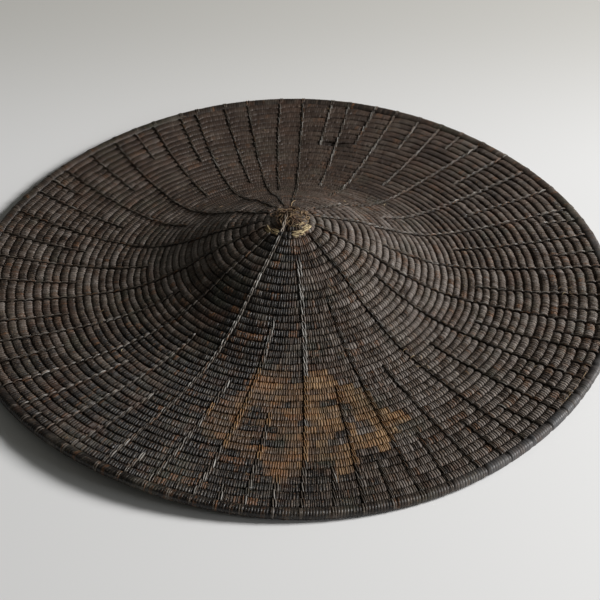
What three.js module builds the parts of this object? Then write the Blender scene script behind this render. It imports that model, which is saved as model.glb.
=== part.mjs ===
import * as THREE from 'three';

// A wide, low hat made of one long fibre coil, wrapped with narrow strips and stitched row to row.
// The coil starts in a knot at the top, runs down a hollow cone, spreads into a nearly flat brim and
// ends in a thicker row round the rim. The rim is slightly wavy and rests on three low stretches.
// Angles are counted in degrees from the front (-Y), positive towards +X. The hat rests on z = 0.

// Driving dimensions, in millimetres.
const HAT_RADIUS = 225;
const CROWN_RADIUS = 103;
const KNOT_RADIUS = 14;
const RIM_WIDTH = 7.2;
const RIM_THICKNESS = 7;
const COIL_THICKNESS = 5;
const GROOVE_DEPTH = 1.2;
const PIECE_GAP = 0.3;
const ROUND_SEGMENTS = 40;

// How the coil's middle rises over the mean level of the rim.
const SLOPE = [
  { radius: 0, height: 57.8 },
  { radius: 13.5, height: 53.7 },
  { radius: 31.5, height: 45.2 },
  { radius: 49.5, height: 37.0 },
  { radius: 67.5, height: 25.8 },
  { radius: 85.5, height: 16.3 },
  { radius: 103.5, height: 9.0 },
  { radius: 126, height: 4.5 },
  { radius: 157.5, height: 1.6 },
  { radius: 191, height: 0.3 },
  { radius: 225, height: 0 },
];

// Width of one row of the coil, measured down the slope.
const ROW_WIDTHS = [
  { radius: 0, width: 6.1 },
  { radius: 101, width: 4.95 },
  { radius: 225, width: 6.7 },
];

// The rim's waves: where each one peaks, how far it reaches to either side, and how high it lifts.
const RIM_WAVES = [
  { angle: -36, reach: 45, lift: 7.0 },
  { angle: 60, reach: 42, lift: 6.4 },
  { angle: 180, reach: 60, lift: 6.0 },
];
const MEAN_LIFT = 3.3;

// The knot at the top: its rings from the flat disc inside the crown to the tip outside.
// The reach is a share of the knot's radius and the height is over the coil's middle at the top.
const KNOT_SEGMENTS = 20;
const KNOT_RINGS = [
  { reach: 0, height: -5.4 },
  { reach: 0.55, height: -5.4 },
  { reach: 0.97, height: -5.8 },
  { reach: 1, height: -1.6 },
  { reach: 0.88, height: 0.4 },
  { reach: 0.62, height: 2.6 },
  { reach: 0.3, height: 3.9 },
  { reach: 0, height: 4.2 },
];
const KNOT_LOBES = 5;
const KNOT_LOBE_DEPTH = 0.9;

// The rim coil's section: a thick round row with a flat sole. Both columns are shares of its size.
const RIM_SECTION = [
  { across: -0.5, up: 0.27 },
  { across: -0.5, up: 0.72 },
  { across: -0.24, up: 1 },
  { across: 0.22, up: 1 },
  { across: 0.5, up: 0.7 },
  { across: 0.5, up: 0.3 },
  { across: 0.26, up: 0 },
  { across: -0.3, up: 0 },
];

// The value of a column at a radius, on a smooth curve through the table's rows.
function smoothValue(table, column, radius) {
  const last = table.length - 1;
  const steepness = (i) => {
    const before = table[Math.max(i - 1, 0)];
    const after = table[Math.min(i + 1, last)];
    return i === 0 ? 0 : (after[column] - before[column]) / (after.radius - before.radius);
  };
  let i = 0;
  while (i < last - 1 && radius > table[i + 1].radius) i += 1;
  const span = table[i + 1].radius - table[i].radius;
  const t = (radius - table[i].radius) / span;
  const start = table[i][column];
  const rise = table[i + 1][column] - start;
  const leave = steepness(i) * span;
  const arrive = steepness(i + 1) * span;
  return start + t * leave + t * t * (3 * rise - 2 * leave - arrive) + t ** 3 * (leave + arrive - 2 * rise);
}

// Height of the coil's middle over the surface the hat rests on, where the rim has no wave.
function middleHeight(radius) {
  const towardsRim = (radius / HAT_RADIUS) ** 3;
  return RIM_THICKNESS / 2 + MEAN_LIFT * (1 - towardsRim) + smoothValue(SLOPE, 'height', radius);
}

function steepnessAt(radius) {
  const step = 0.5;
  return (middleHeight(radius + step) - middleHeight(radius - step)) / (2 * step);
}

// A point of the wall, a distance off the coil's middle and square to the slope.
function wallPoint(radius, offset) {
  const slope = steepnessAt(radius);
  const length = Math.hypot(1, slope);
  return new THREE.Vector2(
    radius - (offset * slope) / length,
    middleHeight(radius) + offset / length,
  );
}

// How far the waves lift the rim at an angle.
function waveLift(angle) {
  let lift = 0;
  for (const wave of RIM_WAVES) {
    const away = Math.abs(((angle - wave.angle + 540) % 360) - 180);
    if (away < wave.reach) {
      lift += wave.lift * Math.cos((Math.PI / 2) * (away / wave.reach)) ** 2;
    }
  }
  return lift;
}

// Radii of the grooves between the rows, evenly stretched to end exactly at the outer radius.
function grooveRadii(inner, outer) {
  const radii = [inner];
  let radius = inner;
  while (radius < outer) {
    radius += smoothValue(ROW_WIDTHS, 'width', radius) / Math.hypot(1, steepnessAt(radius));
    radii.push(radius);
  }
  if (radius - outer > outer - radii[radii.length - 2]) radii.pop();
  const stretch = (outer - inner) / (radii[radii.length - 1] - inner);
  return radii.map((r) => inner + (r - inner) * stretch);
}

// Turns a closed outline round the hat's axis, front first, and lays the waves into it.
function turned(outline, segments, wavy) {
  const geometry = new THREE.LatheGeometry(outline, segments);
  geometry.rotateX(Math.PI / 2);
  const position = geometry.attributes.position;
  for (let i = 0; wavy && i < position.count; i += 1) {
    const x = position.getX(i);
    const y = position.getY(i);
    const angle = THREE.MathUtils.radToDeg(Math.atan2(x, -y));
    const share = (Math.hypot(x, y) / HAT_RADIUS) ** 3;
    position.setZ(i, position.getZ(i) + waveLift(angle) * share);
  }
  geometry.computeVertexNormals();
  return geometry;
}

// A hollow stretch of coiled wall: rounded rows outside, and an even face inside.
function coiledWall(inner, outer) {
  const grooves = grooveRadii(inner, outer);
  const half = COIL_THICKNESS / 2;
  const outside = [];
  const inside = [];
  grooves.forEach((radius, row) => {
    outside.push(wallPoint(radius, half - GROOVE_DEPTH));
    if (row < grooves.length - 1) {
      outside.push(wallPoint((radius + grooves[row + 1]) / 2, half));
    }
    if (row % 2 === 0 || row === grooves.length - 1) {
      inside.push(wallPoint(radius, -half));
    }
  });
  const outline = [...inside, ...outside.reverse(), inside[0]];
  return turned(outline, ROUND_SEGMENTS, true);
}

function rimCoil() {
  const middle = HAT_RADIUS - RIM_WIDTH / 2;
  const outline = RIM_SECTION.map((corner) => new THREE.Vector2(
    middle + corner.across * RIM_WIDTH,
    corner.up * RIM_THICKNESS,
  )).reverse();
  outline.push(outline[0]);
  return turned(outline, ROUND_SEGMENTS, true);
}

// The start of the coil: a tight lump of fibre with a few rounded lobes on top.
function apexKnot() {
  const top = middleHeight(0);
  const radius = KNOT_RADIUS - PIECE_GAP;
  const outline = KNOT_RINGS.map((ring) => new THREE.Vector2(ring.reach * radius, top + ring.height));
  const geometry = turned(outline, KNOT_SEGMENTS, false);
  const position = geometry.attributes.position;
  for (let i = 0; i < position.count; i += 1) {
    const x = position.getX(i);
    const y = position.getY(i);
    const share = Math.hypot(x, y) / radius;
    if (position.getZ(i) > top && share > 0.01) {
      const dip = KNOT_LOBE_DEPTH * share * (1 - Math.cos(KNOT_LOBES * Math.atan2(x, -y)));
      position.setZ(i, position.getZ(i) - dip);
    }
  }
  geometry.computeVertexNormals();
  return geometry;
}

function piece(name, geometry, color, roughness) {
  const material = new THREE.MeshStandardMaterial({ color, roughness, metalness: 0 });
  const mesh = new THREE.Mesh(geometry, material);
  mesh.name = name;
  return mesh;
}

const brimEdge = HAT_RADIUS - RIM_WIDTH - PIECE_GAP;

const hat = new THREE.Group();
hat.add(piece('apex_knot', apexKnot(), 0x8a7648, 0.9));
hat.add(piece('crown_coils', coiledWall(KNOT_RADIUS, CROWN_RADIUS), 0x3d342e, 0.7));
hat.add(piece('brim_coils', coiledWall(CROWN_RADIUS + PIECE_GAP, brimEdge), 0x40372f, 0.7));
hat.add(piece('rim_coil', rimCoil(), 0x35302e, 0.55));

export default hat;
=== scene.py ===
# Dresses the wide coiled hat: wrapped coil rows, stitch lines, frayed knot and rim.
# Sizes here are in millimetres and turned into metres when a mesh is made.
# Angles are in degrees from the front (-Y), positive towards +X.
import bpy
import math
import numpy as np
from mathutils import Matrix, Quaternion, Vector


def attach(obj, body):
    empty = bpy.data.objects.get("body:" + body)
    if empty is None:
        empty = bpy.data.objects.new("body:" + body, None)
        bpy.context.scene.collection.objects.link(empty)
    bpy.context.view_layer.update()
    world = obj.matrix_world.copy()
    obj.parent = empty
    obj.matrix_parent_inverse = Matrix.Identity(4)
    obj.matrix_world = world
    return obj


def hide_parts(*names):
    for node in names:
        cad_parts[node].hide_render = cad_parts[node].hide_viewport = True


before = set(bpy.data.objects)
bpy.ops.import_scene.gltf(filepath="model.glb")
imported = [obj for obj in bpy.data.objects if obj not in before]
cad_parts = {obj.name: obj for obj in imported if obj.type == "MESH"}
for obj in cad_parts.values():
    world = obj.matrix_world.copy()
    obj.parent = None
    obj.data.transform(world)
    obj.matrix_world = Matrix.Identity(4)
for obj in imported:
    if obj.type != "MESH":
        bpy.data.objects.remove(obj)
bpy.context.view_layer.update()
print("frame loaded")

mm = 0.001

# the hat's form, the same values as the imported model
hat = {
    "radius": 225,
    "crownRadius": 103,
    "knotRadius": 14,
    "rimWidth": 7.2,
    "rimThickness": 7,
    "meanLift": 3.3,
    # radius, height of the coil's middle over the rim's mean level
    "slope": [(0, 57.8), (13.5, 53.7), (31.5, 45.2), (49.5, 37.0), (67.5, 25.8), (85.5, 16.3),
              (103.5, 9.0), (126, 4.5), (157.5, 1.6), (191, 0.3), (225, 0)],
    # radius, width of one row down the slope
    "rowWidths": [(0, 6.1), (101, 4.95), (225, 6.7)],
    # angle, reach to either side, lift of the rim
    "waves": [(-36, 45, 7.0), (60, 42, 6.4), (180, 60, 6.0)],
}


def smoothTable(table, radius):
    spots, values = np.array(table, float).T
    lean = np.zeros(len(spots))
    lean[1:-1] = (values[2:] - values[:-2]) / (spots[2:] - spots[:-2])
    lean[-1] = (values[-1] - values[-2]) / (spots[-1] - spots[-2])
    i = np.clip(np.searchsorted(spots, radius, side="left") - 1, 0, len(spots) - 2)
    span = spots[i + 1] - spots[i]
    t = (radius - spots[i]) / span
    rise = values[i + 1] - values[i]
    leave, arrive = lean[i] * span, lean[i + 1] * span
    return (values[i] + t * leave + t**2 * (3 * rise - 2 * leave - arrive)
            + t**3 * (leave + arrive - 2 * rise))


# fine tables along one radius: height, steepness and how many rows lie inside it
fineRadius = np.arange(0, hat["radius"] + 6, 0.25)
fineHeight = (hat["rimThickness"] / 2 + hat["meanLift"] * (1 - (fineRadius / hat["radius"]) ** 3)
              + smoothTable(hat["slope"], fineRadius))
fineLean = np.gradient(fineHeight, fineRadius)
fineWidth = smoothTable(hat["rowWidths"], fineRadius)
rowsPerMm = np.hypot(1, fineLean) / fineWidth
rowSteps = (rowsPerMm[1:] + rowsPerMm[:-1]) / 2 * np.diff(fineRadius)
fineRow = np.concatenate([[0], np.cumsum(rowSteps)])


def radiusOfRow(row):
    return np.interp(row, fineRow, fineRadius)


def rowOfRadius(radius):
    return np.interp(radius, fineRadius, fineRow)


def waveLift(angle):
    lift = np.zeros(np.shape(angle))
    for peak, reach, height in hat["waves"]:
        away = np.abs((angle - peak + 540) % 360 - 180)
        lift += np.where(away < reach, height * np.cos(np.pi / 2 * away / reach) ** 2, 0)
    return lift


def onHat(radius, angle, side=0.0, down=0.0, up=0.0):
    # a spot near the coil's middle: side runs along the row, down along the slope, up off the wall
    lean = np.interp(radius, fineRadius, fineLean)
    length = np.hypot(1, lean)
    flat = radius + down / length - up * lean / length
    height = np.interp(radius, fineRadius, fineHeight) + down * lean / length + up / length
    turn = np.radians(angle) + side / np.maximum(radius, 1)
    lift = waveLift(np.degrees(turn)) * (flat / hat["radius"]) ** 3
    return np.stack(np.broadcast_arrays(flat * np.sin(turn), -flat * np.cos(turn), height + lift), axis=-1)


def smoothStep(start, end, value):
    t = np.clip((value - start) / (end - start), 0, 1)
    return t * t * (3 - 2 * t)


def fromFront(angle):
    # the same angle between -180 and 180
    return (angle + 180) % 360 - 180


def aroundHat(table, angle, column=1):
    # a column's value at an angle, from a table that runs from 0 to 360
    table = np.array(table)
    return np.interp((angle + 360) % 360, table[:, 0], table[:, column])


def tablesAt(angle, row, look):
    # every column's value, which changes from the crown's table to the brim's over a few rows
    share = smoothStep(*look["between"], row)
    found = []
    for column in range(1, len(look["crown"][0])):
        onCrown, onBrim = (aroundHat(look[part], angle, column) for part in ("crown", "brim"))
        found.append(onCrown + share * (onBrim - onCrown))
    return found


def addObject(name, data):
    item = bpy.data.objects.new(name, data)
    bpy.context.scene.collection.objects.link(item)
    return item


def meshFrom(name, points, faceSets, marks, material):
    # points in millimetres; faceSets holds arrays of faces, each with its own number of corners;
    # a mark has one value for each point, or for each ring or strand of points
    points = np.asarray(points, np.float32).reshape(-1, 3)
    mesh = bpy.data.meshes.new(name)
    mesh.vertices.add(len(points))
    mesh.vertices.foreach_set("co", (points * mm).ravel())
    corners = np.concatenate([f.ravel() for f in faceSets]).astype(np.int32)
    sizes = np.concatenate([np.full(len(f), f.shape[1]) for f in faceSets])
    starts = np.concatenate([[0], np.cumsum(sizes)[:-1]]).astype(np.int32)
    mesh.loops.add(len(corners))
    mesh.loops.foreach_set("vertex_index", corners)
    mesh.polygons.add(len(sizes))
    mesh.polygons.foreach_set("loop_start", starts)
    mesh.update(calc_edges=True)
    mesh.shade_smooth()
    for mark, values in marks.items():
        layer = mesh.attributes.new(mark, "FLOAT", "POINT")
        each = np.repeat(np.ravel(values), len(points) // np.size(values))
        layer.data.foreach_set("value", each.astype(np.float32))
    mesh.materials.append(material)
    return addObject(name, mesh)


def gridFaces(ringCount, around, closed=False, flipped=False):
    # quads between neighbouring rings; closed also joins the last ring to the first
    i, j = np.meshgrid(np.arange(ringCount if closed else ringCount - 1), np.arange(around), indexing="ij")
    here, after = i * around, (i + 1) % ringCount * around
    k = (j + 1) % around
    corners = [here + j, after + j, after + k, here + k]
    if flipped:
        corners[1], corners[3] = corners[3], corners[1]
    return np.stack(corners, axis=-1).reshape(-1, 4)


def tubeFaces(ringCount, around):
    # a tube of rings, with an end cap on either side
    caps = np.stack([np.arange(around), (ringCount - 1) * around + np.arange(around)[::-1]])
    return gridFaces(ringCount, around), caps


def strandFaces(strandCount, ringCount, around):
    quads, caps = tubeFaces(ringCount, around)
    shift = (np.arange(strandCount) * ringCount * around)[:, None, None]
    return (quads + shift).reshape(-1, 4), (caps + shift).reshape(-1, around)


def creaseValleys(piece, valleys, around):
    # a crease along each ring that lies in the dip between two wraps
    mesh = piece.data
    ends = np.empty(2 * len(mesh.edges), np.int32)
    mesh.edges.foreach_get("vertices", ends)
    ring = ends.reshape(-1, 2) // around
    crease = (ring[:, 0] == ring[:, 1]) & valleys[ring[:, 0]]
    layer = mesh.attributes.new("sharp_edge", "BOOLEAN", "EDGE")
    layer.data.foreach_set("value", crease)


def addPiece(name, nodes, slotName, points, faceSets, marks, material):
    piece = meshFrom(name, points, faceSets, marks, material)
    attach(piece, "root")
    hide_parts(*nodes)
    return piece


# node helpers for the materials

def fill(node, inputs):
    # each input gets a number, a colour or another node's socket
    for name, value in inputs.items():
        socket = node.inputs[name]
        if isinstance(value, bpy.types.NodeSocket):
            node.id_data.links.new(value, socket)
        else:
            socket.default_value = (*value, 1) if isinstance(value, tuple) else value
    return node


def addNode(place, kind, inputs=None, **settings):
    # place is a node tree or a socket in it
    node = place.id_data.nodes.new("ShaderNode" + kind)
    for key, value in settings.items():
        setattr(node, key, value)
    return fill(node, inputs or {})


def markValue(tree, mark):
    return addNode(tree, "Attribute", attribute_name=mark).outputs["Fac"]


def noiseValue(tree, scale, detail):
    place = addNode(tree, "TexCoord").outputs["Object"]
    inputs = {"Vector": place, "Scale": scale, "Detail": detail, "Roughness": 0.55}
    return addNode(tree, "TexNoise", inputs).outputs["Fac"]


def chanceValue(number):
    # a chance of its own for each number
    return addNode(number, "TexWhiteNoise", {"W": number}, noise_dimensions="1D").outputs["Value"]


def mapValue(value, low, high, toLow=0.0, toHigh=1.0):
    inputs = {"Value": value, "From Min": low, "From Max": high, "To Min": toLow, "To Max": toHigh}
    return addNode(value, "MapRange", inputs, interpolation_type="SMOOTHSTEP").outputs["Result"]


def spotShare(tree, scale, detail, low, high, most=1.0):
    # spots where a noise rises from one value to another
    return mapValue(noiseValue(tree, scale, detail), low, high, 0.0, most)


def combine(operation, first, second=0.0):
    place = second if isinstance(first, float) else first
    return addNode(place, "Math", {0: first, 1: second}, operation=operation).outputs[0]


def times(first, second):
    return combine("MULTIPLY", first, second)


def plus(first, second):
    return combine("ADD", first, second)


def less(first, second):
    return combine("SUBTRACT", first, second)


def rampColor(value, stops):
    ramp = addNode(value, "ValToRGB", {"Fac": value})
    while len(ramp.color_ramp.elements) < len(stops):
        ramp.color_ramp.elements.new(0.5)
    for element, (place, color) in zip(ramp.color_ramp.elements, stops):
        element.position = place
        element.color = (*color, 1)
    return ramp.outputs["Color"]


def mixColor(share, first, second):
    return addNode(share, "Mix", {"Factor": share, 6: first, 7: second}, data_type="RGBA").outputs[2]


def startMaterial(name):
    material = bpy.data.materials.new(name)
    material.use_nodes = True
    tree = material.node_tree
    return material, tree, tree.nodes["Principled BSDF"]


def bumpOf(height, strength, distance):
    inputs = {"Height": height, "Strength": strength, "Distance": distance}
    return addNode(height, "Bump", inputs).outputs["Normal"]


# colours are linear
stripLook = {
    "soot": (0.008, 0.006, 0.005),
    "dark": (0.022, 0.015, 0.011),
    "mid": (0.058, 0.040, 0.029),
    "grey": (0.147, 0.124, 0.109),
    "worn": (0.125, 0.056, 0.024),
    "patchDark": (0.070, 0.041, 0.023),
    "patch": (0.174, 0.101, 0.048),
    "patchLight": (0.32, 0.195, 0.095),
    "patchWarm": (0.210, 0.098, 0.038),
    "dust": (0.21, 0.180, 0.145),
    "fleck": (0.30, 0.24, 0.17),
    # brown stain on the coil; the rim's look turns this into a painted sheen
    "stainAndSheen": (0.052, 0.033, 0.024),
    "mould": (0.042, 0.044, 0.030),
    "russet": (0.075, 0.038, 0.024),
    # near black, painted shade in hollows and gaps
    "gap": (0.006, 0.004, 0.003),
    # near black, painted shade in the dips between wraps
    "valleyShade": (0.004, 0.003, 0.003),
    # scale of a noise, its detail, where its spots fade in and out, and their share
    "warmSpots": (75, 3, 0.50, 0.64, 0.6),
    "mouldSpots": (42, 3, 0.52, 0.70, 0.5),
    "russetSpots": (55, 3, 0.54, 0.70, 0.45),
    "wornSpots": (620, 2, 0.35, 0.6),
    "dustSpots": (70, 5, 0.48, 0.75, 0.3),
    "fleckSpots": (700, 2, 0.57, 0.72, 0.5),
    "emberSpots": (540, 2, 0.60, 0.72, 0.6),
    "clouds": [(26, 4, 0.24), (420, 2, 0.30)],  # lighter and darker: scale, detail, share
    "tone": 0.42,
    "ownTone": 0.5,  # how far one wrap's tone strays
    "sharedTone": 0.4,  # how far a few neighbours' tone strays
    "lightness": 0.115,
    "roughness": (0.46, 0.68),
    "sooty": 0.75,  # share of the roughness where the tone is darkest
    "specular": 0.32,
    "wrapRidge": 0.0005,  # metres
    "grainScale": 1500,
}


def makeStripMaterial(name, look):
    material, tree, shader = startMaterial(name)
    # each wrap of the strip has its own number; the share between two numbers runs across the wrap
    wrap, clear, inPatch = (markValue(tree, mark) for mark in ("wrap", "clear", "patch"))
    fromMiddle = combine("ABSOLUTE", less(combine("FRACT", wrap), 0.5))
    dip = combine("POWER", times(fromMiddle, 2.0), 2.2)
    ridge = less(1.0, times(dip, clear))
    # neighbouring wraps go in pairs and threes
    own = chanceValue(combine("FLOOR", wrap))
    few = combine("FLOOR", times(wrap, 0.4))
    shared = chanceValue(plus(few, 0.5))
    change = plus(times(less(own, 0.5), look["ownTone"]),
                  times(less(shared, 0.5), look["sharedTone"]))
    calm = less(1.0, times(inPatch, 0.5))
    change = times(change, times(clear, calm))
    tone = markValue(tree, "tone")
    shade = plus(times(tone, look["tone"]), times(change, clear))
    for scale, detail, share in look["clouds"]:
        shade = plus(shade, times(noiseValue(tree, scale, detail), share))
    shade = plus(shade, look["lightness"])
    color = rampColor(shade, [
        (0.16, look["soot"]), (0.38, look["dark"]), (0.62, look["mid"]), (0.95, look["grey"])])
    patchTone = rampColor(shade, [
        (0.20, look["patchDark"]), (0.50, look["patch"]), (0.92, look["patchLight"])])
    patchTone = mixColor(spotShare(tree, *look["warmSpots"]), patchTone, look["patchWarm"])
    color = mixColor(inPatch, color, patchTone)
    for tint in ("mould", "russet"):
        color = mixColor(spotShare(tree, *look[tint + "Spots"]), color, look[tint])
    wornShare = times(markValue(tree, "worn"), spotShare(tree, *look["wornSpots"]))
    color = mixColor(wornShare, color, look["worn"])
    dustShare = times(spotShare(tree, *look["dustSpots"]), ridge)
    color = mixColor(dustShare, color, look["dust"])
    # the stain mark: a brown stain on the coil, and on the rim a painted bluish-grey sheen
    color = mixColor(markValue(tree, "stainAndSheen"), color, look["stainAndSheen"])
    for spots, tint in (("fleckSpots", "fleck"), ("emberSpots", "worn")):
        color = mixColor(times(spotShare(tree, *look[spots]), clear), color, look[tint])
    # painted shade: the hollow mark mixes broken places, stitch gaps and the rim's inner side towards the
    # near-black gap colour
    color = mixColor(markValue(tree, "hollow"), color, look["gap"])
    # painted shade: the dips between wraps are mixed towards the near-black valley colour
    color = mixColor(mapValue(ridge, 0.0, 0.7, 0.16, 1.0), look["valleyShade"], color)
    rough = mapValue(noiseValue(tree, 180, 3), 0.3, 0.7, *look["roughness"])
    rough = times(rough, mapValue(tone, -1.4, 0.0, look["sooty"], 1.0))
    grain = times(noiseValue(tree, look["grainScale"], 2), 0.25)
    lumps = times(times(noiseValue(tree, 450, 2), clear), 1.6)
    fill(shader, {"Base Color": color, "Roughness": rough, "Specular IOR Level": look["specular"],
                  "Normal": bumpOf(plus(plus(ridge, grain), lumps), 1.0, look["wrapRidge"])})
    return material


stripMaterial = makeStripMaterial("agedStrips", stripLook)
# the rim's stain colour is a bluish grey: painted sheen of its polished part
rimLook = dict(stripLook, mid=(0.054, 0.039, 0.030), grey=(0.130, 0.110, 0.095),
               stainAndSheen=(0.076, 0.079, 0.084), roughness=(0.42, 0.60), wrapRidge=0.0003)
rimMaterial = makeStripMaterial("rimStrips", rimLook)
stitchLook = dict(stripLook, dark=(0.028, 0.021, 0.016), mid=(0.088, 0.072, 0.059),
                  grey=(0.36, 0.345, 0.32), roughness=(0.26, 0.42), wrapRidge=0.0002)
stitchMaterial = makeStripMaterial("stitchStrips", stitchLook)

fibreLook = {
    "shadow": (0.040, 0.028, 0.017),
    "brown": (0.110, 0.062, 0.034),
    "tan": (0.28, 0.195, 0.105),
    "pale": (0.68, 0.57, 0.34),
}


def makeFibreMaterial(name, look):
    material, tree, shader = startMaterial(name)
    cloud = times(noiseValue(tree, 400, 3), 0.25)
    shade = plus(times(markValue(tree, "tone"), 0.8), cloud)
    color = rampColor(shade, [
        (0.12, look["shadow"]), (0.40, look["brown"]), (0.68, look["tan"]), (0.98, look["pale"])])
    rough = mapValue(noiseValue(tree, 300, 2), 0.3, 0.7, 0.6, 0.85)
    fill(shader, {"Base Color": color, "Roughness": rough, "Specular IOR Level": 0.35,
                  "Normal": bumpOf(noiseValue(tree, 2500, 2), 0.3, 0.0001)})
    return material


fibreMaterial = makeFibreMaterial("frayedFibre", fibreLook)
strandLook = dict(fibreLook, tan=(0.22, 0.175, 0.130), pale=(0.50, 0.44, 0.39))
strandMaterial = makeFibreMaterial("paleStrand", strandLook)
print("materials ready")

# the stitch lines: angle near the knot and at the rim
rays = {
    "first": [(-168.7, -171.4), (-152, -161), (-128, -143), (-100, -114.7), (-80, -86), (-52.5, -61.5),
              (-27, -33.7), (6.7, 1), (41.5, 42.4), (77, 77), (113, 113.5), (142, 139), (177.4, 177.4)],
    "firstRow": 3,
    "late": (6.7, 6),  # the line that starts further down, and its row
    # lines behind that start in the open: row, angle there and at the rim
    "added": [(17, -174.5, -178.2), (22, -164.5, -166.7), (31, -154.5, -157.6), (21, 168, 168),
              (33, 172.2, 171.4)],
    "lastRow": 44,
    # a gap between two lines is halved by a new line once it is this long, by row
    "splitLength": [(8, 42), (14, 42), (39, 29), (44, 28)],
    "splitFrom": 6,
    "scatter": 0.07,  # of that length
    "offCentre": (0.05, 0.03),  # how far a new line strays from the middle, at its start and at the rim
    "seed": 41,
}


def makeRays(look):
    rng = np.random.default_rng(look["seed"])
    splitRows, splitLengths = np.array(look["splitLength"], float).T
    lateAngle, lateRow = look["late"]
    lines = [(lateRow if near == lateAngle else look["firstRow"], near, far) for near, far in look["first"]]
    startStray, endStray = look["offCentre"]
    patience = {}
    for row in range(look["splitFrom"], look["lastRow"]):
        lines += [line for line in look["added"] if line[0] == row]
        lines.sort(key=lambda line: rayAngle(line, row, look))
        added = []
        for i, line in enumerate(lines):
            after = lines[(i + 1) % len(lines)]
            turn = 360 if i == len(lines) - 1 else 0
            here, there = rayAngle(line, row, look), rayAngle(after, row, look) + turn
            length = math.radians(there - here) * radiusOfRow(row)
            key = (line, after)
            if key not in patience:
                patience[key] = 1 + look["scatter"] * rng.normal()
            if length > np.interp(row, splitRows, splitLengths) * patience[key]:
                start = here + (0.5 + startStray * rng.normal()) * (there - here)
                end = line[2] + (0.5 + endStray * rng.normal()) * (after[2] + turn - line[2])
                added.append((row, start, end))
        lines += added
    return lines


def rayAngle(line, row, look):
    startRow, near, far = line
    share = np.clip((row - startRow) / (look["lastRow"] - startRow), 0, 1)
    return near + (far - near) * share


rayLines = makeRays(rays)
print("stitch lines:", len(rayLines))

# the coil: one spiral strand from the knot to the rim, turning clockwise outwards
coil = {
    "startRow": 0.6,
    "crownStartRow": 2.9,
    "seamAngle": 152,  # where the coil ends beside the rim row
    "endTaper": 0.1,  # part of a turn over which its end runs out
    "evenRows": 14,  # rows next to the rim that make up for the spiral
    # angle and width of one wrap there
    "wrapWidth": [(0, 1.5), (20, 1.55), (40, 1.75), (90, 1.9), (150, 1.6), (200, 1.6), (250, 1.9),
                  (310, 2.0), (335, 1.8), (360, 1.5)],
    "wrapScatter": 0.4,
    "halfHeight": 2.55,
    "overlap": 1.03,  # width of a row, over the distance between two
    "wrapRidge": 0.21,
    "crestScatter": 0.06,
    # angle and how far the wraps lean there
    "wrapLean": [(0, 0.06), (20, 0.0), (90, 0.05), (200, 0.15), (270, 0.0), (330, -0.10), (360, 0.06)],
    "waver": 0.34,  # how far the strand strays sideways and in height, mm
    "smallWaver": 0.12,  # the same from wrap to wrap
    "cellTone": 0.2,  # how much the tone changes from one stitch to the next
    "runTone": (0.48, 0.26),  # tone of a few wraps that look alike, and its spread
    "wornRuns": 0.08,  # share of such runs that are worn
    "wornWraps": 0.02,  # share of single worn wraps
    # the strand's section, flat and round: across and up, as shares of half its width and height
    "flat": [(-0.58, 0.93), (0.58, 0.93), (1.0, 0.68), (0.62, -0.88), (-0.62, -0.88), (-1.0, 0.68)],
    "round": [(-0.45, 0.96), (0.45, 0.96), (0.98, 0.20), (0.60, -0.88), (-0.60, -0.88), (-0.98, 0.20)],
    # angle, how round the strand is and how deep the gaps at its stitches are
    "shape": [(0, 0.0, 0.8), (50, 0.5, 0.9), (90, 0.7, 0.9), (130, 0.6, 0.8), (165, 0.2, 0.2),
              (185, 0.2, 0.2), (200, 0.2, 0.15), (230, 0.2, 0.4), (250, 0.25, 0.7), (290, 0.2, 0.9),
              (325, 0.1, 0.9), (360, 0.0, 0.8)],
    # before and after a stitch: length of the dip, how much thinner the strand gets and how far it sinks
    "dipLength": (3.0, 2.6),
    "pinch": (0.40, 0.16),
    "sink": (0.8, 0.45),
    "swell": 0.30,  # how far it rises in between
    "gapShade": 0.75,
    "hollowDepth": 2.0,
    "leastPart": 0.004,  # of a turn, between two stitches
    "shared": 0.0015,  # part of a turn that two bands share
    "seed": 7,
}
rimInnerRow = rowOfRadius(hat["radius"] - hat["rimWidth"])
coilEnd = rimInnerRow - 0.5
crownEndRow = rowOfRadius(hat["crownRadius"])


def coilPlace(s, look):
    # s counts turns; gives the row coordinate, the row's share of full width and the angle
    part = (s - coilEnd) % 1.0
    taper = np.clip((part - (1 - look["endTaper"])) / look["endTaper"], 0, 1)
    shift = np.where(taper > 0, 1 - part + taper, 1 - part)
    fadeRow = rimInnerRow - look["evenRows"]
    share = np.clip((s + 0.5 - fadeRow) / (rimInnerRow - 1 - fadeRow), 0, 1)
    row = s + share * shift
    width = np.where((share > 0) & (share < 1), 1 + shift / look["evenRows"], 1.0)
    ending = (s > coilEnd - 1) & (taper > 0)
    row = np.where(ending, rimInnerRow - (1 - taper) / 2, row)
    width = np.where(ending, np.maximum(1 - taper, 0.04), width)
    return row, width, fromFront(look["seamAngle"] - 360 * (s - coilEnd))


def crossings(look):
    # every place where the strand passes under a stitch line, in turns
    found = []
    for line in rayLines:
        for turn in range(int(look["startRow"]), int(coilEnd) + 2):
            s = turn + 0.5
            for _ in range(3):
                ray = rayAngle(line, coilPlace(s, look)[0], rays)
                s = turn + ((look["seamAngle"] - ray) / 360 + coilEnd) % 1.0
            if coilPlace(s, look)[0] >= line[0] and look["startRow"] < s < coilEnd - 0.02:
                found.append(s)
    found = np.unique(np.round(found, 5))
    return found[np.concatenate([[True], np.diff(found) > look["leastPart"]])]


crossingTurns = crossings(coil)
print("stitches:", len(crossingTurns))


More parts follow.
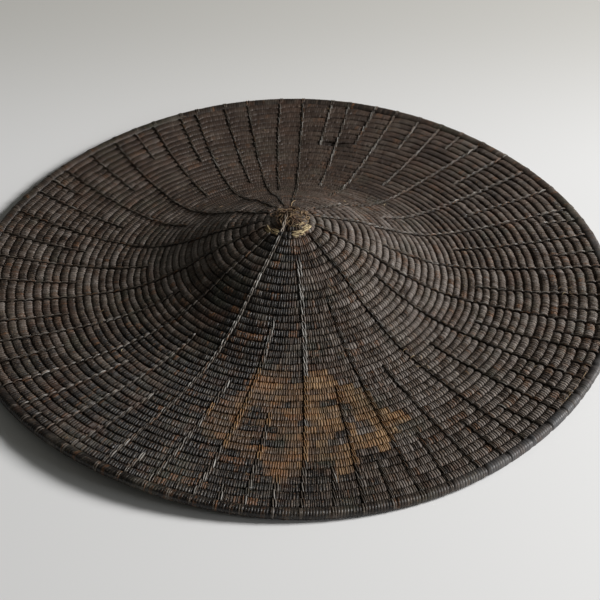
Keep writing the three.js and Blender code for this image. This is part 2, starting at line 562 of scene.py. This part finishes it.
def coilRings(look):
    # one ring in each dip between two wraps and one on each wrap's ridge
    rng = np.random.default_rng(look["seed"])
    edges = np.concatenate([[look["startRow"]], crossingTurns, [coilEnd]])
    radii = radiusOfRow(coilPlace(edges, look)[0])
    cells = []
    strayEdges = look["waver"] * np.clip(rng.normal(size=(2, len(edges))), -1.6, 1.6) / 1.3
    wrapNumber = 0
    runLeft, runTone, runWorn = 0, 0.5, 0.0
    for cell in range(len(edges) - 1):
        length = (edges[cell + 1] - edges[cell]) * 2 * math.pi * (radii[cell] + radii[cell + 1]) / 2
        angle = coilPlace((edges[cell] + edges[cell + 1]) / 2, look)[2]
        wraps = max(2, round(length / aroundHat(look["wrapWidth"], angle)))
        widths = 1 + look["wrapScatter"] * rng.uniform(-1, 1, wraps)
        starts = np.concatenate([[0], np.cumsum(widths)]) / widths.sum()
        share = np.stack([starts[:-1], (starts[:-1] + starts[1:]) / 2], axis=1).ravel()
        tones, worns = np.empty(wraps), np.empty(wraps)
        cellTone = look["cellTone"] * rng.normal()
        for wrap in range(wraps):
            if runLeft <= 0:
                runLeft = rng.integers(1, 8)
                middle, spread = look["runTone"]
                runTone = np.clip(middle + spread * rng.normal(), 0.0, 1.0)
                runWorn = (rng.random() < look["wornRuns"]) * rng.uniform(0.3, 1)
            runLeft -= 1
            tones[wrap] = runTone + cellTone
            worns[wrap] = runWorn * (rng.random() < 0.7) + 0.6 * (rng.random() < look["wornWraps"])
        crestSize = 1 + look["crestScatter"] * np.clip(rng.normal(size=wraps), -2.5, 1.0)
        strays = [stray[cell] + (stray[cell + 1] - stray[cell]) * share
                  + look["smallWaver"] * np.repeat(rng.normal(size=wraps), 2) for stray in strayEdges]
        cells.append({
            "turn": edges[cell] + (edges[cell + 1] - edges[cell]) * share,
            "wrap": wrapNumber + np.arange(2 * wraps) / 2,
            "ridge": np.stack([np.full(wraps, 1 - look["wrapRidge"]), crestSize], axis=1).ravel(),
            "within": 1 - share,
            "length": np.full(2 * wraps, length),
            "tone": np.repeat(tones, 2),
            "worn": np.repeat(np.clip(worns, 0, 1), 2),
            "strayDown": strays[0],
            "strayUp": strays[1],
        })
        wrapNumber += wraps
    return {mark: np.concatenate([found[mark] for found in cells]) for mark in cells[0]}


rings = coilRings(coil)
print("rings along the coil:", len(rings["turn"]))

# the lighter brown patch at the front: corners as angle and row, worked round the shape
patch = {
    "corners": [(-13.5, 21.6), (-6, 20.5), (-0.5, 21), (0, 23), (3.5, 23), (5.5, 21.5), (10.5, 21),
                (14.5, 22), (15, 23.5), (19.5, 24.5), (22, 26.3), (22.5, 28.5), (27.5, 30.3), (28, 32),
                (24.5, 32.4), (20.5, 35), (15.5, 34.6), (13, 34.8), (11.5, 37.5), (8.2, 38), (7.5, 35.5),
                (1.5, 35.7), (1, 37.5), (-2, 38.3), (-6, 37.3), (-6.5, 35.5), (-10, 35.2), (-14, 34),
                (-18, 33.3), (-22, 32.4), (-22.5, 30.7), (-20.5, 28), (-17, 25.7), (-14, 24)],
    # dark marks inside it: angle, row, half their size in degrees and in rows
    "marks": [(-9.5, 28.3, 2.6, 0.9), (-11, 30.2, 2.6, 0.8), (-6.5, 30.5, 2.6, 0.6), (-7, 32.4, 2.4, 0.7),
              (-4, 32.8, 2.4, 0.5), (3, 29.5, 1.6, 0.8), (-2, 26.9, 1.5, 0.5), (9.5, 26.3, 2.6, 0.8),
              (14.5, 27.9, 1.6, 0.7), (14.2, 29.3, 2.0, 0.7), (16.5, 31.2, 2.6, 0.8), (11, 32.2, 2.3, 0.7),
              (9, 33.2, 2, 0.6), (4, 36.2, 2.5, 0.5)],
}


def patchShare(angle, row, look):
    # 1 inside the outline and 0 outside, by counting the sides crossed
    corners = look["corners"]
    angle = angle + 0.5 * np.sin(7.3 * row) + 0.3 * np.sin(5.1 * angle + 3 * row)
    inside = np.zeros(np.shape(angle), bool)
    for (a0, r0), (a1, r1) in zip(corners, corners[1:] + corners[:1]):
        crossesRow = (r0 > row) != (r1 > row)
        edgeAngle = a0 + (a1 - a0) * (row - r0) / ((r1 - r0) or 1e-6)
        inside ^= crossesRow & (angle < edgeAngle)
    share = inside.astype(float)
    for markAngle, markRow, wide, deep in look["marks"]:
        away = np.hypot((angle - markAngle) / wide, (row - markRow) / deep)
        share *= smoothStep(0.85, 1.2, away)
    return share


# how age shows round the hat, and painted light and shade: angle, tone (partly painted light and shade, set
# by how the lamp lights each side, darkest on the front left), how clear the wraps are, stain
wearAndLighting = {
    "crown": [(0, -0.65, 0.9, 0), (28, 0.2, 0.9, 0), (42, 0.6, 0.9, 0), (85, 0.65, 0.8, 0),
              (112, 0.3, 0.65, 0.1), (150, 0.0, 0.35, 0.3), (180, -0.2, 0.2, 0.45), (210, 0.05, 0.4, 0.3),
              (240, 0.7, 0.6, 0.15), (275, 0.95, 0.8, 0.05), (300, 0.1, 0.7, 0), (325, -1.5, 0.4, 0),
              (345, -1.5, 0.5, 0), (360, -0.65, 0.9, 0)],
    "brim": [(0, -0.9, 0.8, 0), (25, 0.5, 1.0, 0), (45, 0.85, 1.0, 0), (70, 0.45, 0.9, 0),
             (110, 0.0, 0.7, 0.1), (150, -0.4, 0.3, 0.4), (180, -0.55, 0.15, 0.6), (200, -0.5, 0.2, 0.55),
             (220, -0.2, 0.6, 0.35), (245, 0.25, 0.8, 0.1), (275, 0.15, 0.7, 0.05), (300, -0.5, 0.7, 0),
             (335, -1.2, 0.75, 0), (360, -0.9, 0.8, 0)],
    "between": (19, 25),  # rows over which the one turns into the other
}

# broken places, sunk and painted near black as shade: angle, row, half their size in degrees and in rows
hollows = [(68.0, 42.7, 2.8, 1.2), (62.8, 42.7, 2.2, 1.1), (58.6, 42.8, 1.5, 0.9),
           (172, 33.5, 9, 0.3), (170, 24.5, 5, 0.3), (-20, 1.9, 14, 0.45)]
# dents where the stitch lines cross the rim row between 14 and 100 degrees, also painted near black as
# shade
hollows += [(rayAngle(line, 43.3, rays) + 0.4, 43.35, 0.5, 0.5) for line in rayLines
            if 14 < rayAngle(line, 43.3, rays) < 100]


def hollowShare(angle, row):
    share = np.zeros(np.shape(angle))
    for spot, spotRow, wide, deep in hollows:
        away = np.hypot((angle - spot) / wide, (row - spotRow) / deep)
        share = np.maximum(share, 1 - smoothStep(0.55, 1, away))
    return share


def coilBand(name, node, firstTurn, lastTurn, look):
    pick = (rings["turn"] >= firstTurn - look["shared"]) & (rings["turn"] <= lastTurn + look["shared"])
    ring = {mark: values[pick] for mark, values in rings.items()}
    within, length = ring["within"], ring["length"]
    row, width, angle = coilPlace(ring["turn"], look)
    roundness, gap = (aroundHat(look["shape"], angle, column) for column in (1, 2))
    before, after = (size / length for size in look["dipLength"])
    ending = gap * smoothStep(1 - np.minimum(before, 0.3), 1, within)
    start = gap * (1 - smoothStep(0, np.minimum(after, 0.25), within))
    pinch = 1 - look["pinch"][0] * ending**2 - look["pinch"][1] * start
    hollow = hollowShare(angle, row)
    besideLine = np.minimum(within, 1 - within) * length
    # painted shade beside each stitch gap
    shaded = look["gapShade"] * gap * (1 - smoothStep(0.5, 1.9, besideLine))
    lift = look["swell"] * smoothStep(0.1, 0.8, within) - look["sink"][1] * start - look["sink"][0] * ending
    lift = lift - look["hollowDepth"] * hollow
    sway = 0.06 * np.sin(np.pi * within) - 0.10 * smoothStep(0.75, 1, within)
    radius = radiusOfRow(row + sway)
    wide = np.interp(radius, fineRadius, fineWidth) * width / 2
    flat, full = np.array(look["flat"]), np.array(look["round"])
    section = flat + roundness[:, None, None] * (full - flat)
    across, high = section[:, :, 0], section[:, :, 1]
    # the tone holds age and also painted light and shade, lighter or darker by side
    tone, clear, stainAndSheen = tablesAt(angle, row, wearAndLighting)
    ridge = 1 + (ring["ridge"] - 1) * np.interp(clear, (0.2, 1.0), (0.1, 1.0))
    size = (pinch * ridge)[:, None]
    across = wide[:, None] * look["overlap"] * across * (0.55 + 0.45 * size)
    high = np.minimum(look["halfHeight"], wide * 1.15)[:, None] * high * size
    points = onHat(
        radius[:, None], angle[:, None], side=-aroundHat(look["wrapLean"], angle)[:, None] * across,
        down=across + ring["strayDown"][:, None],
        up=high + (lift + 0.6 * ring["strayUp"])[:, None])
    # the hollow mark paints shade in the broken places and beside the stitch gaps
    marks = {"wrap": ring["wrap"], "tone": ring["tone"] + tone, "worn": ring["worn"],
             "clear": clear, "stainAndSheen": stainAndSheen, "hollow": np.maximum(hollow, shaded),
             "patch": patchShare(angle, row, patch)}
    faceSets = tubeFaces(len(row), len(flat))
    piece = addPiece(name, [node], "wrapped_coils", points, faceSets, marks, stripMaterial)
    creaseValleys(piece, ring["wrap"] % 1 == 0, len(flat))
    return piece


bands = [
    ("knotCoil", "apex_knot", coil["startRow"], coil["crownStartRow"]),
    ("crownCoil", "crown_coils", coil["crownStartRow"], crownEndRow),
    ("brimCoilInner", "brim_coils", crownEndRow, 29.5),
    ("brimCoilMiddle", "brim_coils", 29.5, 36.5),
    ("brimCoilOuter", "brim_coils", 36.5, coilEnd),
]
for bandName, bandNode, bandStart, bandEnd in bands:
    band = coilBand(bandName, bandNode, bandStart, bandEnd, coil)
    print(bandName, 2 * len(band.data.polygons), "triangles")

# a dark sheet under the middle of the rows, so that no light falls through where two rows part; its dark
# colour is painted shade in those gaps
shadeSheet = {
    "under": 0.45,  # how far under the middle of the rows
    "thickness": 0.5,
    "step": 4.0,  # between its rings
    "around": 120,
}


def coilShadeSheet(name, node, firstRow, lastRow, look):
    first, last = radiusOfRow(firstRow), radiusOfRow(lastRow)
    radius = np.linspace(first, last, round((last - first) / look["step"]) + 1)[:, None]
    angle = np.arange(look["around"]) * 360 / look["around"]
    half = look["thickness"] / 2
    outer, inner = (onHat(radius, angle, up=side * half - look["under"]) for side in (1, -1))
    points = np.concatenate([outer, inner[::-1]])
    quads = gridFaces(len(points), look["around"], closed=True)
    # tone 0 paints the sheet dark, as shade
    marks = {mark: 0.0 for mark in ("wrap", "tone", "worn", "clear", "stainAndSheen", "hollow", "patch")}
    addPiece(name, [node], "wrapped_coils", points, [quads], marks, stripMaterial)


coilShadeSheet("crownShadeSheet", "crown_coils", 2.6, crownEndRow - 0.02, shadeSheet)
coilShadeSheet("brimShadeSheet", "brim_coils", crownEndRow + 0.02, rimInnerRow, shadeSheet)
print("core ready")

# the thick last row that the hat rests on
rim = {
    "wrapWidth": 1.9,
    "ridge": 0.06,
    "inward": 1.25,  # how far it reaches under the last row of the coil
    "sections": 12,
    "squareness": 0.92,
    "polished": (28, 104),  # angles between which it is worn smooth
    # angle and how much darker than the rows it is there
    "darker": [(0, 0.6), (90, 0.4), (120, 0.0), (215, 0.0), (250, 0.5), (360, 0.6)],
    "row": 43.4,  # its place among the rows
    "seed": 23,
}


def polishedShare(angle, look):
    start, end = look["polished"]
    turned = fromFront(angle)
    return smoothStep(start - 8, start + 8, turned) * (1 - smoothStep(end - 8, end + 8, turned))


def rimSection(around, look):
    cosine, sine = np.cos(around), np.sin(around)
    across = hat["rimWidth"] / 2 * np.sign(cosine) * np.abs(cosine) ** look["squareness"]
    high = hat["rimThickness"] / 2 * np.sign(sine) * np.abs(sine) ** look["squareness"]
    return across, high


rimMiddle = hat["radius"] - hat["rimWidth"] / 2


def rimRow(look):
    rng = np.random.default_rng(look["seed"])
    wraps = round(2 * math.pi * rimMiddle / look["wrapWidth"])
    angle = np.arange(2 * wraps) * 180 / wraps
    crest = np.tile([0.0, 1.0], wraps)
    # runs of a few wraps that look alike
    runLengths = rng.integers(1, 5, wraps)
    runs = np.repeat(np.repeat(rng.random(wraps), runLengths)[:wraps], 2)
    smooth = polishedShare(angle, look)
    rubbed = smooth * np.where(runs > 0.72, 0.3, 0.8)
    hollow = hollowShare(fromFront(angle), look["row"])
    depth = look["ridge"] * (1 - 0.7 * rubbed)
    size = 1 - depth * (1 - crest) - 0.04 * np.repeat(rng.random(wraps), 2) - 0.05 * runs * smooth
    around = np.radians(90 - np.arange(look["sections"]) * 360 / look["sections"])
    across, high = rimSection(around, look)
    across = np.where(across < 0, across * look["inward"], across * (size - 0.10 * hollow)[:, None])
    high = np.where(high > 0, high * (size + 0.03 * smooth - 0.20 * hollow)[:, None], high)
    points = onHat(rimMiddle, angle[:, None], side=-0.12 * across, down=across, up=high)
    quads = gridFaces(len(angle), look["sections"], closed=True, flipped=True)
    # the tone holds age and also painted light and shade, lighter or darker by side
    agedAndLitTone, clear, stainAndSheen = tablesAt(angle, look["row"], wearAndLighting)
    tone = np.repeat(0.45 + 0.2 * rng.normal(size=wraps), 2) + (0.15 + 0.35 * smooth) * (runs - 0.3)
    darker = aroundHat(look["darker"], angle)
    tone += (1 - smooth) * (agedAndLitTone - darker)
    worn = np.repeat((rng.random(wraps) < 0.12) * rng.random(wraps), 2) * (1 - 0.5 * smooth)
    # painted shade on the rim's inner side, where it tucks under the last coil row; it grows with the
    # darker table and the broken places
    innerSide = np.clip(-np.cos(around) * 1.6 + 0.3, 0, 1)
    # the stain mark here paints a bluish-grey sheen onto the polished part
    marks = {
        "tone": tone, "wrap": np.arange(len(angle)) / 2, "worn": worn, "patch": 0.0,
        "clear": 0.7 * clear * (1 - 0.6 * rubbed), "stainAndSheen": 0.75 * smooth * (1 - 0.5 * runs),
        "hollow": (0.65 * darker + 0.6 * hollow)[:, None] * innerSide,
    }
    piece = addPiece("rimRow", ["rim_coil"], "rim_wrap", points, [quads], marks, rimMaterial)
    creaseValleys(piece, crest == 0, look["sections"])


rimRow(rim)
print("rim row ready")

# the stitches that bind each row to the one inside it, two strands for each
stitch = {
    "fromRow": -0.72,  # reach of a stitch from the row's middle, in rows
    "toRow": 0.62,
    "steps": 7,
    "apart": 0.62,  # from the middle of a stitch to either of its strands
    "spread": 0.25,  # how much further they part halfway along
    "slant": 0.7,
    "sideShift": 0.35,  # from the line towards the row that it holds down
    "halfWidth": 0.52,
    "thickness": 0.58,
    # section of one strand: across and up
    "section": ((-1, -0.5), (-0.6, 0.7), (0.6, 0.7), (1, -0.5)),
    # angle, how light the stitches are there and how open
    "crown": [(0, 1.15, 1.0), (12, 1.0, 0.9), (20, 0.2, 0.5), (160, 0.25, 0.4), (200, 0.2, 0.4),
              (300, -0.1, 0.5), (322, -0.1, 0.6), (327, 0.7, 0.8), (345, 0.7, 0.8), (360, 1.15, 1.0)],
    "brim": [(0, 0.58, 1.0), (10, 0.46, 0.9), (17, 0.28, 0.5), (80, 0.28, 0.1), (130, 0.30, 0.1),
             (162, 0.60, 0.1), (180, 0.55, 0.1), (190, 0.38, 0.1), (250, 0.22, 0.2), (285, 0.30, 0.3),
             (310, 0.36, 0.5), (335, 0.45, 0.9), (360, 0.58, 1.0)],
    "between": (18, 26),
    "toneScatter": 0.22,
    "lightShare": 0.12,  # of the strands that are lighter, and of the worn ones
    "overRim": (168, -12),  # degrees round the rim row that its stitches cover
    "seed": 77,
}


def stitchMarks(angle, row, inPatch, look, rng):
    # one value for each strand
    count = len(angle)
    tone = tablesAt(angle, row, look)[0] + look["toneScatter"] * rng.normal(size=count)
    tone += 0.3 * (rng.random(count) < look["lightShare"])
    worn = (rng.random(count) < look["lightShare"]) * rng.uniform(0.3, 1, count)
    return {"tone": tone, "wrap": np.arange(count) + 0.5, "worn": worn, "patch": inPatch,
            "clear": 0.6, "stainAndSheen": 0.0, "hollow": 0.0}


def stitchStrands(turns, look, underside):
    rng = np.random.default_rng(look["seed"] + (1 if underside else 0))
    row, width, angle = coilPlace(turns, coil)
    count = len(turns)
    reach = np.linspace(look["fromRow"], look["toRow"], look["steps"])
    part = np.linspace(0, 1, look["steps"])
    radius = radiusOfRow(row[:, None] + reach * width[:, None])
    half = coil["halfHeight"]
    strands = []
    sides, flip = ((-1,), -1) if underside else ((-1, 1), 1)
    openness = tablesAt(angle, row, look)[1]
    dip = (0.40 - 0.18 * np.minimum(openness, 1))[:, None]
    arch = np.maximum(half * (1.04 - dip + dip * np.cos(np.pi * reach)), 0.3 * half)
    thick = 0.5 + 0.5 * openness
    spread = (look["spread"] * openness * rng.uniform(0.6, 1.2, count))[:, None]
    for strand in sides:
        middle = strand * (look["apart"] * thick[:, None] + spread * np.sin(np.pi * part))
        middle = look["sideShift"] + middle + look["slant"] * (part - 0.5)
        middle = middle + 0.14 * rng.normal(size=count)[:, None]
        if underside:
            middle = 0.9 * (part - 0.5) + 0.15 * rng.normal(size=count)[:, None]
        high = arch * (1 + 0.05 * rng.normal(size=count))[:, None] + (0.25 if strand > 0 else 0.1)
        size = (thick * rng.uniform(0.75, 1.2, count))[:, None]
        slim = (1 - 0.35 * (1 - np.sin(np.pi * part))) * size
        spots = [onHat(radius, angle[:, None], side=middle + cornerSide * look["halfWidth"] * slim * flip,
                       up=flip * (high + cornerUp * look["thickness"]))
                 for cornerSide, cornerUp in look["section"]]
        strands.append(np.stack(spots, axis=2))
    faceSets = strandFaces(count * len(sides), look["steps"], len(look["section"]))
    angle, row = np.tile((angle, row), len(sides))
    marks = stitchMarks(angle, row, patchShare(angle, row, patch), look, rng)
    return np.concatenate(strands), faceSets, marks


def rimStitches(look):
    # the last stitch of each line goes round the rim row, where that isn't polished
    rng = np.random.default_rng(look["seed"] + 2)
    angles = np.array([rayAngle(line, rim["row"], rays) for line in rayLines])
    angles = angles[polishedShare(angles, rim) < 0.5]
    count, steps = len(angles), 9
    around = np.radians(np.linspace(*look["overRim"], steps))
    across, high = rimSection(around, rim)
    strands = []
    for strand in (-1, 1):
        part = np.linspace(0, 1, steps)
        middle = strand * (look["apart"] + 0.6 * look["spread"] * np.sin(np.pi * part))
        middle = look["sideShift"] + middle + 0.2 * rng.normal(size=count)[:, None]
        spots = []
        for cornerSide, cornerUp in look["section"]:
            grow = 1.02 + 0.11 * cornerUp * look["thickness"]
            spots.append(onHat(
                rimMiddle, angles[:, None], side=middle + cornerSide * look["halfWidth"],
                down=across * np.minimum(grow, 1.0), up=high * grow + 0.1))
        strands.append(np.stack(spots, axis=2))
    points = np.concatenate(strands)
    faceSets = strandFaces(2 * count, steps, len(look["section"]))
    marks = stitchMarks(np.tile(angles, 2), rim["row"], 0.0, look, rng)
    marks["tone"] *= 0.75
    addPiece("rimStitches", ["rim_coil"], "rim_wrap", points, faceSets, marks, stitchMaterial)


for name, node, low, high in (("crownStitches", "crown_coils", 0, crownEndRow),
                              ("brimStitches", "brim_coils", crownEndRow, 99)):
    held = crossingTurns[(crossingTurns >= low) & (crossingTurns < high)]
    for underside in (False, True):
        points, faceSets, marks = stitchStrands(held, stitch, underside)
        label = name + ("Under" if underside else "")
        addPiece(label, [node], "wrapped_coils", points, faceSets, marks, stitchMaterial)
rimStitches(stitch)
print("stitches sewn")

# the start of the coil, its loosened strips and the pale core where the wrapping is gone
knot = {
    "sole": -4.6,
    # reach as a share of the knot's radius, height over the coil
    "moundRings": [(0.44, -1.4), (0.38, 1.0), (0.28, 2.2), (0.14, 2.9)],
    "tangle": 110,
    "stray": 10,
    "middle": (-1.5, 1.8),  # of the tangle
    "reach": 12.0,
    "stripWidth": (0.45, 1.0),
    # angles and rows between which the coil's pale core shows, and its number of fibres
    "bare": [(-4, 30, 2.45, 46), (24, 60, 2.2, 34), (-8, 60, 1.5, 46), (-78, -56, 2.9, 26),
             (-58, -38, 2.65, 24)],
    # the double strand over the top: across and away from the viewer
    "overTop": [(-6.8, -15.6), (-5.8, -11), (-5.1, -7.4), (-3.9, -2.5), (-3.0, 3.5), (-2.4, 9.0)],
    "seed": 5,
}


def knotMound(look):
    count = 40
    turn = np.arange(count) * 2 * math.pi / count
    rows = [(0.50, look["sole"]), (0.92, look["sole"] - 0.2), (0.92, -2.4)] + look["moundRings"]
    layers = []
    for share, height in rows:
        lump = 1 + 0.05 * np.sin(5 * turn + 9 * share) * (height > -2)
        bumps = 0.3 * np.sin(7 * turn + 14 * share) * (height > 0)
        reach = (hat["knotRadius"] - 0.3) * share * lump
        level = fineHeight[0] + height + bumps
        layers.append(np.stack([reach * np.sin(turn), -reach * np.cos(turn), level], axis=-1))
    quads = gridFaces(len(rows), count, flipped=True)
    caps = np.stack([np.arange(count)[::-1], (len(rows) - 1) * count + np.arange(count)])
    addFibres("knotMound", "apex_knot", (np.concatenate(layers), [quads, caps]), 0.1)


def knotTop(x, y):
    away = np.hypot(x, y)
    coilTop = np.interp(away, fineRadius, fineHeight) + 2.3
    mound = fineHeight[0] + np.interp(away, (0, 2, 4, 5.2, 6.2), (3.3, 2.9, 2.1, 1.0, -1.5))
    return np.maximum(coilTop, mound)


def roundStrands(paths, widths, flatness=1.0):
    # strands with five sides that thin out at both ends
    paths, around = np.array(paths), 5
    count, steps = paths.shape[:2]
    along = np.gradient(paths, axis=1)
    along /= np.linalg.norm(along, axis=2, keepdims=True) + 1e-9
    side = np.cross(along, np.array([0.03, 0.05, 1.0]))
    side /= np.linalg.norm(side, axis=2, keepdims=True) + 1e-9
    up = np.cross(side, along)
    part = np.linspace(0, 1, steps)
    slim = 0.45 + 0.55 * np.sin(np.pi * np.clip(part * 0.9 + 0.05, 0, 1))
    turn = np.arange(around)[:, None] * 2 * math.pi / around
    radius = np.array(widths)[:, None, None, None] / 2 * slim[:, None, None]
    ring = side[:, :, None] * np.cos(turn) + flatness * up[:, :, None] * np.sin(turn)
    return paths[:, :, None] + ring * radius, strandFaces(count, steps, around)


def addFibres(name, node, strands, tones, material=fibreMaterial):
    addPiece(name, [node], "knot_fibre", *strands, {"tone": tones}, material)


def knotTangle(look):
    # loose strips that loop over the top
    rng = np.random.default_rng(look["seed"])
    steps = 10
    paths, widths, tones = [], [], []
    for i in range(look["tangle"] + look["stray"]):
        stray = i >= look["tangle"]
        start = rng.uniform(0, 2 * math.pi)
        away = look["reach"] * math.sqrt(rng.uniform(0.0, 1.0))
        heading = start + math.pi / 2 + rng.normal() * 0.9
        curl = rng.normal() * 0.3
        length = rng.uniform(4, 11)
        x = look["middle"][0] + away * math.sin(start)
        y = look["middle"][1] - away * math.cos(start)
        bow = rng.uniform(0.2, 1.2)
        path = []
        for step in range(steps):
            part = step / (steps - 1)
            lift = bow * math.sin(math.pi * part) + 0.1
            if stray:
                lift += 1.0 * part**1.6
            path.append((x, y, knotTop(x, y) + lift))
            x += math.sin(heading) * length / steps
            y -= math.cos(heading) * length / steps
            heading += curl + 0.6 * (math.hypot(x, y) > 11)
        paths.append(path)
        widths.append(rng.uniform(*look["stripWidth"]) * (0.5 if stray else 1))
        tones.append(np.clip(rng.normal(0.36, 0.2), 0, 0.62))
    addFibres("knotTangle", "apex_knot", roundStrands(paths, widths, flatness=0.6), tones)


def bareCore(look):
    # pale core fibres that lie along the coil
    rng = np.random.default_rng(look["seed"] + 1)
    steps = 8
    paths, widths, tones = [], [], []
    for first, last, row, fibres in look["bare"]:
        for _ in range(fibres):
            start = rng.uniform(first, last - 6)
            end = min(last + 3, start + rng.uniform(9, 22))
            angle = np.linspace(start, end, steps)
            around = math.radians(rng.uniform(10, 150))
            reach = rng.uniform(0.85, 1.08)
            wander = 0.25 * np.cumsum(rng.normal(size=steps)) / steps
            radius = np.full(steps, radiusOfRow(row))
            paths.append(onHat(radius, angle, down=2.6 * reach * math.cos(around) + wander,
                               up=2.7 * reach * math.sin(around) + wander))
            widths.append(rng.uniform(0.35, 0.7))
            tones.append(np.clip(rng.normal(0.84, 0.2), 0, 1))
    addFibres("bareCore", "apex_knot", roundStrands(paths, widths), tones)


def overTop(look):
    # two light strands that run from the front left stitch line over the top to the one behind
    steps = 26
    guide = np.array(look["overTop"], float)
    part = np.linspace(0, len(guide) - 1, steps)
    x, y = (np.interp(part, np.arange(len(guide)), guide[:, column]) for column in (0, 1))
    paths = []
    for side in (-1, 1):
        sway = side * (0.45 + 0.3 * np.sin(part * 4.5))
        height = knotTop(x + sway, y)
        height = np.convolve(np.pad(height, 2, mode="edge"), np.ones(5) / 5, mode="valid")
        paths.append(np.stack([x + sway, y, height + 1.5 - 1.2 * (part / part[-1]) ** 2], axis=-1))
    tones = np.array([0.9, 0.75])[:, None] * (1 - 0.4 * smoothStep(0.4, 0.85, part / part[-1]))
    strands = roundStrands(paths, (0.95, 0.85), flatness=0.7)
    addFibres("overTop", "apex_knot", strands, tones, strandMaterial)


knotMound(knot)
overTop(knot)
knotTangle(knot)
bareCore(knot)
print("knot ready")

# broken places and single loose fibres
fray = {
    # angle, row, spread in degrees, spread in rows, number of fibres
    "places": [(61.5, 42.6, 1.6, 0.6, 22), (57, 42.8, 1.2, 0.5, 10), (54, 41.4, 1.8, 0.8, 16),
               (-39.5, 40.4, 2.0, 1.0, 12), (86, 36.9, 1.5, 0.8, 8), (24, 33.0, 1.6, 2.0, 14),
               (-12, 30.0, 3.0, 3.0, 14), (42, 24.0, 1.5, 3.0, 12)],
    "scattered": 140,
    "length": (1.4, 4.2),
    "width": (0.2, 0.42),
    "seed": 31,
}


def frayFibres(look):
    rng = np.random.default_rng(look["seed"])
    spots = [(angle + wide * rng.uniform(-1, 1), row + deep * rng.uniform(-1, 1))
             for angle, row, wide, deep, fibres in look["places"] for _ in range(fibres)]
    spots += [(rng.uniform(-180, 180), math.sqrt(rng.uniform(30, 42.4**2)))
              for _ in range(look["scattered"])]
    angle, row = np.array(spots).T
    row = np.minimum(row, 42.7)
    count, steps = len(spots), 7
    part = np.linspace(0, 1, steps)
    length = rng.uniform(*look["length"], count)[:, None]
    heading = rng.uniform(0, 2 * math.pi, count)[:, None]
    curl = rng.normal(size=count)[:, None] * 0.7
    side = length * (np.sin(heading + curl * part) * part)
    down = length * (np.cos(heading + curl * part) * part)
    rise = 2.75 + rng.uniform(0.2, 1.4, count)[:, None] * np.sin(np.pi * part * 0.75)
    reach = np.broadcast_to(radiusOfRow(row)[:, None], down.shape)
    down = np.minimum(down, hat["radius"] - 7.5 - reach)
    paths = onHat(reach, angle[:, None], side=side, down=down, up=rise)
    strands = roundStrands(paths, rng.uniform(*look["width"], count))
    addFibres("frayFibres", "brim_coils", strands, np.clip(rng.normal(0.42, 0.18, count), 0, 1))


frayFibres(fray)
print("frays ready")

# floor, light and camera
stage = {
    "floorSize": 8.0,
    "floorColor": (0.80, 0.80, 0.80),
    "farShadeColor": (0.57, 0.56, 0.53),
    "farFrom": (0.12, 0.42),  # distance behind the hat over which painted shade darkens the floor
    "world": (0.97, 0.97, 0.88),
    "worldStrength": 0.08,
    # place, aim, size, watts, colour
    "lamps": [
        ((2.50, 0.14, 1.42), (0.0, 0.0, 0.03), 0.8, 126, (1.0, 0.993, 0.985)),
        ((2.5, -1.3, 1.1), (0.0, 0.0, 0.0), 0.8, 10, (0.95, 0.97, 1.0)),
    ],
}


def makeFloor(look):
    half = look["floorSize"] / 2
    mesh = bpy.data.meshes.new("floor")
    corners = [(x * half, y * half, 0) for x, y in ((-1, -1), (1, -1), (1, 1), (-1, 1))]
    mesh.from_pydata(corners, [], [(0, 1, 2, 3)])
    floor = addObject("floor", mesh)
    material, tree, shader = startMaterial("floorPaper")
    place = addNode(tree, "TexCoord").outputs["Object"]
    behind = addNode(tree, "SeparateXYZ", {"Vector": place}).outputs["Y"]
    # painted shade: the floor darkens towards the back, as the light falls off
    shadedPaper = mixColor(mapValue(behind, *look["farFrom"]), look["floorColor"], look["farShadeColor"])
    fill(shader, {"Base Color": shadedPaper, "Roughness": 0.9})
    mesh.materials.append(material)


def makeLamps(look):
    for i, (place, aim, size, watts, color) in enumerate(look["lamps"]):
        lamp = bpy.data.lights.new(f"softLamp{i}", "AREA")
        lamp.size = size
        lamp.energy = watts
        lamp.color = color
        holder = addObject(f"softLamp{i}", lamp)
        holder.location = place
        holder.rotation_euler = (Vector(aim) - Vector(place)).to_track_quat("-Z", "Y").to_euler()
    world = bpy.data.worlds.new("softRoom")
    world.use_nodes = True
    fill(world.node_tree.nodes["Background"], {"Color": look["world"], "Strength": look["worldStrength"]})
    bpy.context.scene.world = world


view = {
    "place": (0.0, -1.0938, 0.8899),
    "aim": (0.00535, -0.0176, 0.0068),
    "roll": 0.13,  # degrees, clockwise
    "lens": 121.1,
}


def makeCamera(look):
    data = bpy.data.cameras.new("camera")
    data.lens = look["lens"]
    data.sensor_width = 36
    camera = addObject("camera", data)
    place, aim = Vector(look["place"]), Vector(look["aim"])
    turn = (aim - place).to_track_quat("-Z", "Y")
    camera.rotation_mode = "QUATERNION"
    camera.rotation_quaternion = turn @ Quaternion((0, 0, 1), -math.radians(look["roll"]))
    camera.location = place
    bpy.context.scene.camera = camera


makeFloor(stage)
makeLamps(stage)
makeCamera(view)
bpy.context.scene.view_settings.view_transform = "Standard"
print("stage ready")
